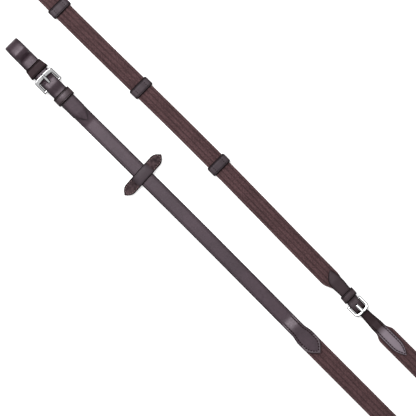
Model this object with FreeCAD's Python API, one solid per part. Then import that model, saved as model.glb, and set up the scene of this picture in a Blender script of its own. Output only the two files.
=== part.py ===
# A pair of leather reins with woven web hand parts, laid out in long runs on a flat surface.
#
# Each half is a leather strap sewn to a long web with leather hand stops.  The strap's front
# end is folded round a buckle, and a billet sewn under it goes round the bit ring and back
# through that buckle.  The two webs are buckled together at the centre: the left half ends in
# the buckle and the right half in the billet.
#
# Millimetres.  +X lies along the runs, +Y across them and +Z up from the surface.  The origin
# is the middle of the laid-out reins, on the surface.  Positions along a half are distances
# from the outside of its bit loop.
import FreeCAD, Part

import math
import os

from FreeCAD import Matrix, Placement, Rotation, Vector

# Lengths along one half.
REIN_LENGTH = 1300.0          # bit loop to the front bar of the centre buckle
JOIN_START = 385.0            # where the leather starts to rise onto the web
JOIN_LENGTH = 52.0            # from there to the tip of the leather point
WEB_START = JOIN_START + 26.0
REIN_STOP_AT = 186.4
HAND_STOPS_FROM_CENTRE = (205.5, 314.8, 429.0, 541.0, 653.0)

# Straps.
STRAP_WIDTH = 16.0
STRAP_THICKNESS = 2.8
WEB_WIDTH = 19.0
WEB_THICKNESS = 2.8
HALF = STRAP_THICKNESS / 2
UNDERLAY = 2.0                # thickness of what is sewn under a strap
LAYER_GAP = 0.1               # between two layers of one folded strap
MOVING_GAP = 0.3              # between leather pieces that slide on each other

# How the halves lie: flat in front, on edge where they turn back.
RUN_SPACING = 59.4
TURN_RADIUS = RUN_SPACING / 2
TWIST_LENGTH = 65.0
TWIST_STEPS = 6
CENTRE_BAR = Vector(136.0, -29.7, 0)
RIGHT_NOSE_BEHIND_BAR = 438.5
LEFT_LAST_RUN = 616.0
LEFT_MIDDLE_RUN = 212.0
RIGHT_TWISTS = (537.0, 1136.5)
LEFT_FLAT_AGAIN = 850.5

FLAT_HEIGHT = UNDERLAY + HALF
EDGE_HEIGHT = 12.0            # middle of a strap that stands on edge

# Bit end: distances from the outside of the loop, heights from the middle of the strap.
BIT_RING_RADIUS = 3.5
BIT_END_LENGTH = 124.0
BILLET_SEWN_END = 98.0
BILLET_TIP = 108.0
BIT_HEEL = 59.6
BIT_HEEL_RADIUS = 1.35
PIN_CLEARANCE = 0.05
FOLD_THICKNESS = 1.2          # the strap is skived thin where it folds round the heel bar
FOLD_END = 70.0
BIT_RUNNER_AT = 36.5
BIT_RUNNER_WIDTH = 11.0
BIT_KEEPER_AT = 75.5
BIT_KEEPER_WIDTH = 9.0
KEEPER_LEG = 1.2

# Centre: distances from the front bar of the centre buckle, towards the right half.
CENTRE_HEEL = -12.5
CENTRE_STRAP_WIDTH = 12.4
CENTRE_CHAPE_THICKNESS = 1.5
CENTRE_BILLET_THICKNESS = 2.0
CENTRE_KEEPER_AT = -23.0
CENTRE_KEEPER_WIDTH = 8.0
LEFT_WEB_END = -34.0
RIGHT_WEB_END = 24.5
CENTRE_BILLET_TIP = -53.0
LEAF_TIP = 61.0

# Stops.
HAND_STOP_LENGTH = 11.0
HAND_STOP_WIDTH = 23.0
STOP_LEAF_LENGTH = 55.0
STOP_LEAF_WIDTH = 12.5
STOP_LEAF_THICKNESS = 1.5
STOP_TILT = 3.2               # degrees

BIG = 200.0                   # past the end of any cut
SAME_POINT = 1e-6
FLAT_EDGE = 0.01              # an edge that rises less than this is level


# ---------------------------------------------------------------- shapes in general

def edge_line(start, end):
    return Part.LineSegment(start, end).toShape()


def edge_arc(start, middle, end):
    return Part.Arc(start, middle, end).toShape()


def box(low, high):
    size = Vector(*high) - Vector(*low)
    return Part.makeBox(size.x, size.y, size.z, Vector(*low))


def joined(solids):
    """Fuse touching solids into one."""
    whole = solids[0].fuse(solids[1:])
    return whole.removeSplitter()


def only_solid(shape):
    """The single solid that a boolean left."""
    assert len(shape.Solids) == 1, "expected one solid, found %d" % len(shape.Solids)
    return shape.Solids[0]


def ribbon_face(corners, thickness, to_space):
    """The face of a bent strap seen from its edge.

    corners are (a, b, bend radius) of the strap's middle line; to_space turns (a, b) into a point.
    """
    points = [Vector(a, b, 0) for a, b, radius in corners]
    pieces = []
    last = points[0]
    for before, corner, after, (a, b, radius) in zip(points, points[1:], points[2:], corners[1:]):
        heading_in = (corner - before).normalize()
        heading_out = (after - corner).normalize()
        turn = math.atan2(heading_in.cross(heading_out).z, heading_in.dot(heading_out))
        tangent = radius * math.tan(abs(turn) / 2)
        start = corner - heading_in * tangent
        end = corner + heading_out * tangent
        side = math.copysign(1.0, turn)
        centre = start + Vector(-heading_in.y, heading_in.x, 0) * side * radius
        if (start - last).Length > SAME_POINT:
            pieces.append(("line", last, start, heading_in))
        pieces.append(("arc", start, end, heading_in, heading_out, corner, centre, radius, side))
        last = end
    pieces.append(("line", last, points[-1], (points[-1] - points[-2]).normalize()))

    def left(heading):
        return Vector(-heading.y, heading.x, 0)

    def offset_edges(shift):
        edges = []
        for piece in pieces:
            if piece[0] == "line":
                kind, start, end, heading = piece
                edges.append([start + left(heading) * shift, end + left(heading) * shift])
            else:
                kind, start, end, heading_in, heading_out, corner, centre, radius, side = piece
                outward = (corner - centre).normalize()
                middle = centre + outward * (radius - side * shift)
                edges.append([start + left(heading_in) * shift, middle, end + left(heading_out) * shift])
        return edges

    def drawn(points_of_edge):
        placed = [to_space(point.x, point.y) for point in points_of_edge]
        return edge_line(*placed) if len(placed) == 2 else edge_arc(*placed)

    forward = offset_edges(thickness / 2)
    back = [list(reversed(edge)) for edge in reversed(offset_edges(-thickness / 2))]
    outline = forward + [[forward[-1][-1], back[0][0]]] + back + [[back[-1][-1], forward[0][0]]]
    return Part.Face(Part.Wire([drawn(edge) for edge in outline]))


def side_view(a, b):
    return Vector(a, 0, b)


def end_view(a, b):
    return Vector(0, a, b)


def folded_strap(corners, thickness, width):
    """A strap folded as its side view shows, straight across its width."""
    solid = ribbon_face(corners, thickness, side_view).extrude(Vector(0, width, 0))
    return solid.translated(Vector(0, -width / 2, 0))


def plan_face(half_outline):
    """The face of an outline that is the same on both sides of the X axis.

    half_outline runs from one end to the other: (x, y) ends a straight edge, and
    (middle x, middle y, x, y) ends an arc.
    """
    def point(x, y):
        return Vector(x, y, 0)

    edges = []
    ends = [half_outline[0]] + [entry[-2:] for entry in half_outline[1:]]
    for sign in (1, -1):
        for start, entry in zip(ends, half_outline[1:]):
            first = point(start[0], sign * start[1])
            last = point(entry[-2], sign * entry[-1])
            if len(entry) == 2:
                edges.append(edge_line(first, last))
            else:
                edges.append(edge_arc(first, point(entry[0], sign * entry[1]), last))
    for x, y in (ends[0], ends[-1]):
        if y > 0:
            edges.append(edge_line(point(x, y), point(x, -y)))
    return Part.Face(Part.Wire(Part.__sortEdges__(edges)))


def plan_prism(half_outline, low=-BIG, high=BIG):
    prism = plan_face(half_outline).extrude(Vector(0, 0, high - low))
    return prism.translated(Vector(0, 0, low))


def loop_band(width, inner_half_width, inner_low, inner_high, side, leg_low, leg_high):
    """A closed keeper round a strap, with rounded outer corners."""
    outer = box((-width / 2, -inner_half_width - side, inner_low - leg_low),
                (width / 2, inner_half_width + side, inner_high + leg_high))
    along = [edge for edge in outer.Edges if edge.BoundBox.XLength > width * 0.9]
    outer = outer.makeFillet(min(leg_low, leg_high, side) * 0.9, along)
    hole = box((-width, -inner_half_width, inner_low), (width, inner_half_width, inner_high))
    return only_solid(outer.cut(hole))


# ---------------------------------------------------------------- how each half lies

RIGHT_STRAIGHT = (REIN_LENGTH - math.pi * TURN_RADIUS + RIGHT_NOSE_BEHIND_BAR) / 2
LEFT_FIRST_RUN = REIN_LENGTH - LEFT_LAST_RUN - LEFT_MIDDLE_RUN - 2 * math.pi * TURN_RADIUS
LEFT_NOSE_BEHIND_BAR = LEFT_LAST_RUN - LEFT_MIDDLE_RUN + LEFT_FIRST_RUN

HALVES = {
    "right": {
        "nose": CENTRE_BAR + Vector(-RIGHT_NOSE_BEHIND_BAR, -RUN_SPACING, 0),
        "route": [("run", RIGHT_STRAIGHT), ("turn", 1),
                  ("run", RIGHT_STRAIGHT - RIGHT_NOSE_BEHIND_BAR)],
        "twists": RIGHT_TWISTS,
    },
    "left": {
        "nose": CENTRE_BAR + Vector(-LEFT_NOSE_BEHIND_BAR, 2 * RUN_SPACING, 0),
        "route": [("run", LEFT_FIRST_RUN), ("turn", -1), ("run", LEFT_MIDDLE_RUN), ("turn", 1),
                  ("run", LEFT_LAST_RUN)],
        "twists": (LEFT_FIRST_RUN - TWIST_LENGTH, LEFT_FLAT_AGAIN - TWIST_LENGTH),
    },
}


def legs(half):
    """Each leg of a half's route: its kind, start, end, start point, heading and turning side."""
    place = Vector(half["nose"])
    heading = 0.0
    done = 0.0
    for kind, value in half["route"]:
        along = Vector(math.cos(heading), math.sin(heading), 0)
        length = value if kind == "run" else math.pi * TURN_RADIUS
        yield kind, done, done + length, Vector(place), heading, value
        if kind == "run":
            place = place + along * value
        else:
            place = place + Vector(-along.y, along.x, 0) * value * 2 * TURN_RADIUS
            heading += value * math.pi
        done += length


def roll_at(half, distance):
    """How far the strap is rolled onto its edge, in radians."""
    first, second = half["twists"]
    up = min(max((distance - first) / TWIST_LENGTH, 0), 1)
    down = min(max((distance - second) / TWIST_LENGTH, 0), 1)
    return math.pi / 2 * (up - down)


def station(half, distance):
    """Placement of the strap at a distance: X along it, Y across it, Z out of its grain side."""
    for kind, start, end, place, heading, value in legs(half):
        if distance <= end + SAME_POINT:
            break
    along = Vector(math.cos(heading), math.sin(heading), 0)
    left = Vector(-along.y, along.x, 0)
    if kind == "run":
        place = place + along * (distance - start)
    else:
        angle = (distance - start) / TURN_RADIUS
        centre = place + left * value * TURN_RADIUS
        turned = along * math.cos(angle) + left * value * math.sin(angle)
        outward = along * math.sin(angle) - left * value * math.cos(angle)
        place = centre + outward * TURN_RADIUS
        along = turned
        left = Vector(-along.y, along.x, 0)
    roll = roll_at(half, distance)
    up = Vector(0, 0, 1)
    across = left * math.cos(roll) + up * math.sin(roll)
    normal = up * math.cos(roll) - left * math.sin(roll)
    height = FLAT_HEIGHT + (EDGE_HEIGHT - FLAT_HEIGHT) * math.sin(roll)
    return Placement(Matrix(along.x, across.x, normal.x, place.x,
                            along.y, across.y, normal.y, place.y,
                            along.z, across.z, normal.z, height,
                            0, 0, 0, 1))


def moved(shape, placement):
    copy = shape.copy()
    copy.Placement = placement.multiply(copy.Placement)
    return copy


def section_wire(half, distance, width, thickness):
    corners = [Vector(0, y * width / 2, z * thickness / 2) for y, z in
               ((-1, -1), (1, -1), (1, 1), (-1, 1), (-1, -1))]
    at = station(half, distance)
    return Part.makePolygon([at.multVec(corner) for corner in corners])


def turn_solid(half, start, end, width, thickness):
    """A stretch of strap on edge that goes round a turn."""
    middle = (start + end) / 2
    low, high = [[station(half, at).multVec(Vector(0, -width / 2, offset)) for at in (start, middle, end)]
                 for offset in (-thickness / 2, thickness / 2)]
    face = Part.Face(Part.Wire([edge_arc(*low), edge_line(low[-1], high[-1]),
                                edge_arc(*reversed(high)), edge_line(high[0], low[0])]))
    return face.extrude(Vector(0, 0, width))


def laid_strap(half, start, end, width, thickness):
    """A strap between two distances along a half, as it lies."""
    marks = {start, end}
    for leg in legs(half):
        marks.add(leg[2])
    for twist in half["twists"]:
        marks.update((twist, twist + TWIST_LENGTH))
    marks = sorted(mark for mark in marks if start <= mark <= end)
    solids = []
    for first, last in zip(marks, marks[1:]):
        if last - first < SAME_POINT:
            continue
        middle = (first + last) / 2
        leg = next(leg for leg in legs(half) if middle <= leg[2])
        roll = roll_at(half, middle)
        if 0.01 < roll < math.pi / 2 - 0.01:
            stations = [first + (last - first) * step / TWIST_STEPS for step in range(TWIST_STEPS + 1)]
            wires = [section_wire(half, at, width, thickness) for at in stations]
            solids.append(Part.makeLoft(wires, True, True))
        elif leg[0] == "turn":
            solids.append(turn_solid(half, first, last, width, thickness))
        else:
            straight = box((0, -width / 2, -thickness / 2), (last - first, width / 2, thickness / 2))
            solids.append(moved(straight, station(half, first)))
    return joined(solids) if len(solids) > 1 else solids[0]


# ---------------------------------------------------------------- buckles

BIT_BUCKLE = {
    "length": 15.6, "width": 23.5, "front_bar": 5.0, "arm": 2.9, "thickness": 2.6,
    "heel_radius": BIT_HEEL_RADIUS, "corner": 2.6, "window_corner": 1.2, "bow": 1.0,
    "rounding": 1.15, "heel_height": 4.0, "front_height": 6.3, "tongue_width": 2.8, "eye_radius": 2.4,
}
CENTRE_BUCKLE = {
    "length": 14.0, "width": 18.0, "front_bar": 3.0, "arm": 2.3, "thickness": 2.4,
    "heel_radius": 1.35, "corner": 4.5, "window_corner": 3.0, "bow": 1.2,
    "rounding": 1.05, "heel_height": 0.0, "front_height": 2.4, "tongue_width": 2.2, "eye_radius": 2.3,
}


TONGUE_ROUNDING = 0.8


def buckle_tilt(buckle):
    reach = buckle["length"] - buckle["front_bar"] / 2
    return math.degrees(math.atan2(buckle["front_height"] - buckle["heel_height"], reach))


def bowed_plate(rear, front, bow, half_width, corner, thickness):
    """A rectangular plate across X with a bowed front and rounded front corners."""
    shoulder = front - bow
    corners = [Vector(rear, -half_width, 0), Vector(shoulder, -half_width, 0),
               Vector(shoulder, half_width, 0), Vector(rear, half_width, 0)]
    outline = [edge_line(corners[0], corners[1]),
               edge_arc(corners[1], Vector(front, 0, 0), corners[2]),
               edge_line(corners[2], corners[3]), edge_line(corners[3], corners[0])]
    plate = Part.Face(Part.Wire(outline)).extrude(Vector(0, 0, thickness))
    upright = [edge for edge in plate.Edges
               if edge.BoundBox.ZLength > thickness / 2 and edge.BoundBox.XMin > 0]
    return plate.makeFillet(corner, upright)


def buckle_frame(buckle):
    """A one-piece buckle frame: its heel bar is the Y axis and its front bar is towards +X."""
    length = buckle["length"]
    half_width = buckle["width"] / 2
    thickness = buckle["thickness"]
    plate = bowed_plate(-buckle["heel_radius"], length, buckle["bow"], half_width,
                        buckle["corner"], thickness)
    window = bowed_plate(-length, length - buckle["front_bar"], buckle["bow"] * 0.8,
                         half_width - buckle["arm"], buckle["window_corner"], thickness)
    plate = plate.cut(window)
    rims = [edge for edge in plate.Edges if edge.BoundBox.ZLength < FLAT_EDGE]
    plate = plate.makeFillet(buckle["rounding"], rims).translated(Vector(0, 0, -thickness / 2))
    heel = Part.makeCylinder(buckle["heel_radius"], buckle["width"] - 2.4,
                             Vector(0, 1.2 - half_width, 0), Vector(0, 1, 0))
    return only_solid(plate.fuse(heel))


def buckle_tongue(buckle):
    """The tongue, with its eye round the heel bar and its tip on the front bar."""
    width = buckle["tongue_width"]
    rest = buckle["thickness"] / 2 + 0.1
    thick = 1.9
    eye_top = buckle["eye_radius"] - thick / 2
    shank = folded_strap([(0, eye_top, 0), (4.0, rest + thick / 2, 9.0),
                          (buckle["length"] - 1.6, rest + thick / 2, 0)], thick, width)
    tip = Part.makeCylinder(width / 2, thick, Vector(buckle["length"] - 1.6, 0, rest), Vector(0, 0, 1))
    shank = only_solid(shank.fuse(tip).removeSplitter())
    rims = [edge for edge in shank.Edges if edge.BoundBox.ZMin > rest + thick - FLAT_EDGE]
    shank = shank.makeFillet(TONGUE_ROUNDING, rims)
    eye = Part.makeCylinder(buckle["eye_radius"], width, Vector(0, -width / 2, 0), Vector(0, 1, 0))
    bore = Part.makeCylinder(buckle["heel_radius"] + PIN_CLEARANCE, width * 2,
                             Vector(0, -width, 0), Vector(0, 1, 0))
    return only_solid(shank.fuse(eye).removeSplitter().cut(bore))


def buckle_placement(buckle, heel_at, towards):
    """Where a buckle sits on a strap, with its front bar towards +X (1) or -X (-1)."""
    tilt = Rotation(Vector(0, 1, 0), -buckle_tilt(buckle))
    facing = Rotation(Vector(0, 0, 1), 0 if towards > 0 else 180)
    return Placement(Vector(heel_at, 0, buckle["heel_height"]), facing.multiply(tilt))


# ---------------------------------------------------------------- bit end

FRONT_LAYER = STRAP_THICKNESS + LAYER_GAP                        # billet lying on its lower run
LOOP_RADIUS = BIT_RING_RADIUS + HALF
HEEL_HEIGHT = BIT_BUCKLE["heel_height"]
HEEL_WRAP = BIT_HEEL_RADIUS + PIN_CLEARANCE + FOLD_THICKNESS / 2
FOLD_LOW = HALF + FOLD_THICKNESS / 2
OVER_BILLET = HALF + FOLD_THICKNESS + LAYER_GAP + HALF           # strap lying on the billet
FOLD_HIGH = OVER_BILLET + HALF - FOLD_THICKNESS / 2
HEEL_LAYER = HEEL_HEIGHT + HEEL_WRAP + FOLD_THICKNESS / 2 + LAYER_GAP + HALF
KEEPER_LAYER = OVER_BILLET + STRAP_THICKNESS + LAYER_GAP         # billet lying on the strap
TOP_RAMP_START = 99.5
TOP_RAMP_END = 112.0
TOP_RAMP_SLOPE = OVER_BILLET / (TOP_RAMP_END - TOP_RAMP_START)
BEND_SHIFT = FRONT_LAYER * math.tan(math.atan(TOP_RAMP_SLOPE) / 2)
TIP_LEVEL = KEEPER_LAYER - TOP_RAMP_SLOPE * (BILLET_TIP - TOP_RAMP_START - BEND_SHIFT)

BILLET_FOLD = [
    (BILLET_SEWN_END, 0, 0), (HALF, 0, LOOP_RADIUS), (HALF, 2 * LOOP_RADIUS, LOOP_RADIUS),
    (12.5, 2 * LOOP_RADIUS, 6.0), (20.5, FRONT_LAYER, 8.0), (51.5, FRONT_LAYER, 4.0),
    (57.0, HEEL_LAYER, 3.5), (63.0, HEEL_LAYER, 4.0), (69.0, KEEPER_LAYER, 8.0),
    (TOP_RAMP_START + BEND_SHIFT, KEEPER_LAYER, 8.0 + FRONT_LAYER), (BILLET_TIP, TIP_LEVEL, 0),
]


def bit_billet():
    """The billet: sewn under the strap, round the bit ring and back through the buckle."""
    half_width = STRAP_WIDTH / 2
    fold = folded_strap(BILLET_FOLD, STRAP_THICKNESS, STRAP_WIDTH)
    upper_level = HALF + LAYER_GAP / 2
    outline = [(-BIG, half_width + 1), (94.0, half_width + 1), (94.0, half_width),
               (95.5, half_width), (103.5, half_width * 0.68, BILLET_TIP, 0)]
    upper = plan_prism(outline, upper_level, BIG)
    lower = box((-BIG, -BIG, -BIG), (BIG, BIG, upper_level))
    slot = box((52.5, -1.7, upper_level), (60.6, 1.7, BIG))
    return only_solid(fold.common(upper.fuse(lower)).cut(slot))


def strap_front():
    """The strap's front end: up over the billet, then folded thin round the heel bar."""
    front = BIT_HEEL - HEEL_WRAP
    over = folded_strap([(BIT_END_LENGTH, 0, 0), (TOP_RAMP_END, 0, 8.0),
                         (TOP_RAMP_START, OVER_BILLET, 8.0), (68.0, OVER_BILLET, 0)],
                        STRAP_THICKNESS, STRAP_WIDTH)
    fold = folded_strap([(FOLD_END, FOLD_LOW, 0), (front, FOLD_LOW, HEEL_WRAP),
                         (front, HEEL_HEIGHT + HEEL_WRAP, HEEL_WRAP),
                         (BIT_HEEL + 3.0, HEEL_HEIGHT + HEEL_WRAP, 3.0),
                         (BIT_HEEL + 8.4, FOLD_HIGH, 3.0), (FOLD_END, FOLD_HIGH, 0)],
                        FOLD_THICKNESS, STRAP_WIDTH)
    tongue_slot = box((BIT_HEEL - 5.0, -1.7, -BIG), (BIT_HEEL + 4.2, 1.7, BIG))
    return only_solid(joined([over, fold]).cut(tongue_slot))


def join_point():
    """The end of the leather strap, rising onto the web and cut to a point."""
    fold = folded_strap([(0, 0, 0), (12.0, 0, 12.0), (24.0, STRAP_THICKNESS, 12.0),
                         (JOIN_LENGTH, STRAP_THICKNESS, 0)], STRAP_THICKNESS, WEB_WIDTH + 0.4)
    wide = WEB_WIDTH / 2 + 0.2
    outline = [(0, STRAP_WIDTH / 2), (23.0, STRAP_WIDTH / 2), (31.0, wide), (40.0, wide),
               (47.5, wide * 0.62, JOIN_LENGTH, 0)]
    return only_solid(fold.common(plan_prism(outline)))


def front_strap(half):
    rear = laid_strap(half, BIT_END_LENGTH, JOIN_START, STRAP_WIDTH, STRAP_THICKNESS)
    return only_solid(joined([moved(strap_front(), station(half, 0)), rear,
                              moved(join_point(), station(half, JOIN_START))]))


def join_backing():
    wide = WEB_WIDTH / 2
    outline = [(4.0, STRAP_WIDTH / 2 - 0.4), (23.0, STRAP_WIDTH / 2 - 0.4), (31.0, wide),
               (38.0, wide), (44.5, wide * 0.6, 48.0, 0)]
    return plan_prism(outline, -HALF - UNDERLAY, -HALF)


def bit_runner():
    return loop_band(BIT_RUNNER_WIDTH, 8.8, -HALF - MOVING_GAP, FRONT_LAYER + HALF + MOVING_GAP,
                     1.6, 1.6, 1.6)


def bit_keeper():
    """The fixed keeper: its lower leg is sewn between the billet and the strap."""
    low = HALF + KEEPER_LEG + LAYER_GAP / 2
    return loop_band(BIT_KEEPER_WIDTH, 8.3, low, KEEPER_LAYER + HALF + LAYER_GAP,
                     1.8, KEEPER_LEG, 1.4)


# ---------------------------------------------------------------- stops

def stop_leaf_outline():
    """A leaf that lies along Y, pointed at both ends."""
    half_width = STOP_LEAF_WIDTH / 2
    half_length = STOP_LEAF_LENGTH / 2
    shoulder = half_length - 7.5
    tip = Vector(0, half_length, 0)
    edges = []
    for side in (1, -1):
        edges.append(edge_line(Vector(side * half_width, -shoulder, 0),
                               Vector(side * half_width, shoulder, 0)))
        for end in (1, -1):
            edges.append(edge_arc(Vector(side * half_width, end * shoulder, 0),
                                  Vector(side * half_width * 0.6, end * (half_length - 3.6), 0), tip * end))
    return Part.Face(Part.Wire(Part.__sortEdges__(edges)))


def rein_stop_layer(side):
    """One leather layer of the rein stop: 1 is on top of the strap, -1 under it."""
    seam = STOP_LEAF_THICKNESS / 2
    over = HALF + MOVING_GAP + STOP_LEAF_THICKNESS / 2
    strap_edge = STRAP_WIDTH / 2
    half_length = STOP_LEAF_LENGTH / 2
    corners = [(-half_length, seam, 0), (-strap_edge - 3.6, seam, 2.0), (-strap_edge - 0.8, over, 2.0),
               (strap_edge + 0.8, over, 2.0), (strap_edge + 3.6, seam, 2.0), (half_length, seam, 0)]
    layer = ribbon_face([(a, side * b, radius) for a, b, radius in corners],
                        STOP_LEAF_THICKNESS, end_view).extrude(Vector(BIG, 0, 0))
    layer = layer.translated(Vector(-BIG / 2, 0, 0))
    cutter = stop_leaf_outline().extrude(Vector(0, 0, BIG)).translated(Vector(0, 0, -BIG / 2))
    tilted = only_solid(layer.common(cutter))
    return moved(tilted, Placement(Vector(), Rotation(Vector(0, 0, 1), STOP_TILT)))


def hand_stop(web, placement):
    """A leather band sewn round the web, cut to fit it."""
    length = HAND_STOP_LENGTH / 2
    width = HAND_STOP_WIDTH / 2
    chamfer = 1.2
    outline = [(-length, width - chamfer), (-length + chamfer, width), (length - chamfer, width),
               (length, width - chamfer)]
    reach = HALF + UNDERLAY
    band = moved(plan_prism(outline, -reach, reach), placement)
    return only_solid(band.cut(web))


# ---------------------------------------------------------------- centre

CENTRE_WRAP = CENTRE_BUCKLE["heel_radius"] + PIN_CLEARANCE + CENTRE_CHAPE_THICKNESS / 2
CENTRE_HALF = CENTRE_BILLET_THICKNESS / 2
OVER_CHAPE = HALF + CENTRE_CHAPE_THICKNESS + LAYER_GAP + CENTRE_HALF
NECK_LEVEL = -HALF + CENTRE_HALF


def centre_chape():
    """The left half's end: a leather strip folded round the heel bar, with the web sewn inside."""
    front = CENTRE_HEEL + CENTRE_WRAP
    fold = folded_strap([(-53.5, -CENTRE_WRAP, 0), (front, -CENTRE_WRAP, CENTRE_WRAP),
                         (front, CENTRE_WRAP, CENTRE_WRAP), (-40.5, CENTRE_WRAP, 0)],
                        CENTRE_CHAPE_THICKNESS, CENTRE_STRAP_WIDTH)
    tongue_slot = box((CENTRE_HEEL - 4.0, -1.4, -BIG), (0, 1.4, BIG))
    return only_solid(fold.cut(tongue_slot))


def centre_billet():
    """The right half's end: the leaf sewn on the web, the neck and the billet to its tip."""
    fold = folded_strap([(LEAF_TIP, HALF + CENTRE_HALF, 0), (23.4, HALF + CENTRE_HALF, 5.0),
                         (15.9, NECK_LEVEL, 5.0), (-3.0, NECK_LEVEL, 4.0), (-9.8, OVER_CHAPE, 3.5),
                         (-42.5, OVER_CHAPE, 6.0), (-47.5, HALF + LAYER_GAP + CENTRE_HALF, 6.0),
                         (CENTRE_BILLET_TIP, HALF + LAYER_GAP + CENTRE_HALF, 0)],
                        CENTRE_BILLET_THICKNESS, CENTRE_STRAP_WIDTH + 0.6)
    wide = CENTRE_STRAP_WIDTH / 2
    outline = [(CENTRE_BILLET_TIP, 0), (-51.2, wide * 0.68, -44.5, wide + 0.3),
               (-38.0, wide + 0.3), (-30.0, wide),
               (-4.0, wide), (1.0, 4.75), (17.0, 5.8), (52.0, 5.8), (59.0, 3.6, LEAF_TIP, 0)]
    slot = box((-12.6, -1.4, NECK_LEVEL - CENTRE_HALF - 1), (-4.0, 1.4, BIG))
    billet = fold.common(plan_prism(outline)).cut(slot)
    return only_solid(billet.cut(leaf_filler()))


def leaf_filler():
    """Padding under the middle of the leaf."""
    outline = [(31.0, 2.9), (45.0, 2.9), (49.6, 1.8, 51.0, 0)]
    return plan_prism(outline, HALF, HALF + 1.0)


def centre_backing():
    """The leather under the end of the right web."""
    outline = [(4.0, 4.75), (19.5, 6.2), (52.0, 6.2), (58.2, 4.0, LEAF_TIP - 1.0, 0)]
    return plan_prism(outline, -HALF - UNDERLAY, -HALF)


def centre_keeper():
    """The fixed keeper: its lower leg is sewn between the two layers of the chape."""
    low = HALF - LAYER_GAP / 2
    return loop_band(CENTRE_KEEPER_WIDTH, CENTRE_STRAP_WIDTH / 2 + 0.4, low,
                     OVER_CHAPE + CENTRE_HALF + LAYER_GAP, 1.4, KEEPER_LEG, 1.3)


def tapered_web(web, end_at, full_at, end_half_width):
    """Cut the corners off the web's end at the centre; distances from the front bar."""
    reach = WEB_WIDTH             # past the web's edge
    solid = web
    for side in (1, -1):
        points = [Vector(end_at, side * end_half_width, -BIG), Vector(full_at, side * WEB_WIDTH / 2, -BIG),
                  Vector(full_at, side * reach, -BIG), Vector(end_at, side * reach, -BIG),
                  Vector(end_at, side * end_half_width, -BIG)]
        cutter = Part.Face(Part.makePolygon(points)).extrude(Vector(0, 0, 2 * BIG))
        solid = solid.cut(moved(cutter, centre_placement()))
    return only_solid(solid)


def centre_placement():
    return Placement(Vector(CENTRE_BAR.x, CENTRE_BAR.y, FLAT_HEIGHT), Rotation())


# ---------------------------------------------------------------- assembly

def half_nodes(name):
    half = HALVES[name]
    at_nose = station(half, 0)

    def at(distance):
        return station(half, distance)

    web_end = REIN_LENGTH + LEFT_WEB_END if name == "left" else REIN_LENGTH - RIGHT_WEB_END
    web = laid_strap(half, WEB_START, web_end, WEB_WIDTH, WEB_THICKNESS)
    if name == "left":
        web = tapered_web(web, LEFT_WEB_END, -48.5, CENTRE_STRAP_WIDTH / 2)
    else:
        web = tapered_web(web, RIGHT_WEB_END, 33.5, CENTRE_STRAP_WIDTH / 2)
    buckle_at = at_nose.multiply(buckle_placement(BIT_BUCKLE, BIT_HEEL, -1))
    nodes = {
        "front_strap": front_strap(half),
        "join_backing": moved(join_backing(), at(JOIN_START)),
        "web": web,
        "bit_billet": moved(bit_billet(), at_nose),
        "bit_buckle_frame": moved(buckle_frame(BIT_BUCKLE), buckle_at),
        "bit_buckle_tongue": moved(buckle_tongue(BIT_BUCKLE), buckle_at),
        "bit_runner": moved(bit_runner(), at(BIT_RUNNER_AT)),
        "bit_keeper": moved(bit_keeper(), at(BIT_KEEPER_AT)),
        "rein_stop_top": moved(rein_stop_layer(1), at(REIN_STOP_AT)),
        "rein_stop_back": moved(rein_stop_layer(-1), at(REIN_STOP_AT)),
    }
    for number, from_centre in enumerate(HAND_STOPS_FROM_CENTRE, start=1):
        nodes["hand_stop_%d" % number] = hand_stop(web, at(REIN_LENGTH - from_centre))
    return {"%s_%s" % (name, node): shape for node, shape in nodes.items()}


def centre_nodes():
    middle = centre_placement()
    buckle_at = middle.multiply(buckle_placement(CENTRE_BUCKLE, CENTRE_HEEL, 1))
    keeper_at = middle.multiply(Placement(Vector(CENTRE_KEEPER_AT, 0, 0), Rotation()))
    return {
        "centre_chape": moved(centre_chape(), middle),
        "centre_buckle_frame": moved(buckle_frame(CENTRE_BUCKLE), buckle_at),
        "centre_buckle_tongue": moved(buckle_tongue(CENTRE_BUCKLE), buckle_at),
        "centre_keeper": moved(centre_keeper(), keeper_at),
        "centre_billet": moved(centre_billet(), middle),
        "centre_backing": moved(centre_backing(), middle),
        "leaf_filler": moved(leaf_filler(), middle),
    }


def main():
    os.makedirs("parts", exist_ok=True)
    nodes = {}
    for name in HALVES:
        nodes.update(half_nodes(name))
    nodes.update(centre_nodes())
    for node, shape in nodes.items():
        shape.exportStep("parts/%s.step" % node)
        print(node, len(shape.Solids), shape.isValid(), round(shape.Volume, 1))


main()
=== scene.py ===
"""Leather and web reins: detailed leather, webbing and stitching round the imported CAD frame.

Lengths are millimetres inside this script and become metres where a mesh is made.
A place along a half of the reins is its distance from the outside of that half's bit loop.
"""

import math

import bpy
import numpy as np
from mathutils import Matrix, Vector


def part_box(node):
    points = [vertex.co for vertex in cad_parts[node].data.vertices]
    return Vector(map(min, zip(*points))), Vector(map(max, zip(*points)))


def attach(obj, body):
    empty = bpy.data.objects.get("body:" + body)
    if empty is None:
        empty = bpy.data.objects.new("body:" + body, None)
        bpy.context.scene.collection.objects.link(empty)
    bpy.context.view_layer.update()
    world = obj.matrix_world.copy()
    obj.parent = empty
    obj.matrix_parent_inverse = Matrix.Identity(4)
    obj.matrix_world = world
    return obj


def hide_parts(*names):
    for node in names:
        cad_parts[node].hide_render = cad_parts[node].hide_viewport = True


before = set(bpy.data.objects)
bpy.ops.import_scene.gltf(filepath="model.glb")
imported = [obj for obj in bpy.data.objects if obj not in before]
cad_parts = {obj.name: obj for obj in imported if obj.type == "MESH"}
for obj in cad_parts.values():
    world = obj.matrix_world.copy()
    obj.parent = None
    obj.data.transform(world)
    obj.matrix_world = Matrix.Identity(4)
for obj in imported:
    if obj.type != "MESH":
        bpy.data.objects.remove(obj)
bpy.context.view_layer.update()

MM = 0.001
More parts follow.
